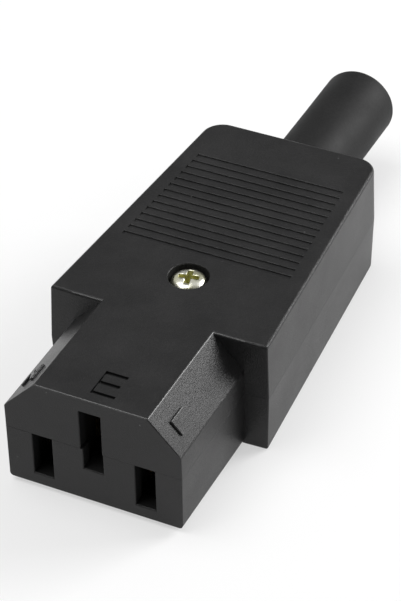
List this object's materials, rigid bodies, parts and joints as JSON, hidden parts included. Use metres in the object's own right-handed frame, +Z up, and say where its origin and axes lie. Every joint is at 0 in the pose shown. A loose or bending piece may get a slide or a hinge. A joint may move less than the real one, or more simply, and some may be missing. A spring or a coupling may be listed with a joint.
{
  "type": "c13 power connector",
  "caption": "Rewirable black power connector with a chamfered nose, contact slots, grip ribs, a central screw and a rubber cable sleeve.",
  "frame": {"origin": "middle of the mating face, on the plane where the two shells meet", "axes": "+Y from the mating face back to the cable, +Z up to the face with the housing screw, +X to the right seen from the mating face"},
  "size_m": [0.0306, 0.0831, 0.0167],
  "materials": {
    "black_plastic": "satin black moulded plastic with a fine grain",
    "black_rubber": "smooth satin black rubber",
    "zinc_steel": "bright zinc plating with a pale yellow tint",
    "brass": "bare stamped brass",
    "spring_steel": "plain spring steel",
    "clamp_plastic": "matt black moulded plastic"
  },
  "bodies": {
    "root": {"top_shell": "black_plastic", "bottom_shell": "black_plastic", "cable_sleeve": "black_rubber", "housing_screw": "zinc_steel", "housing_nut": "zinc_steel", "line_contact": "brass", "neutral_contact": "brass", "earth_contact": "brass", "line_spring": "spring_steel", "neutral_spring": "spring_steel", "earth_spring": "spring_steel", "line_wire_plate": "zinc_steel", "neutral_wire_plate": "zinc_steel", "earth_wire_plate": "zinc_steel", "line_terminal_screw": "zinc_steel", "neutral_terminal_screw": "zinc_steel", "earth_terminal_screw": "zinc_steel", "cord_clamp": "clamp_plastic", "cord_clamp_screw_left": "zinc_steel", "cord_clamp_screw_right": "zinc_steel"}
  },
  "joints": []
}
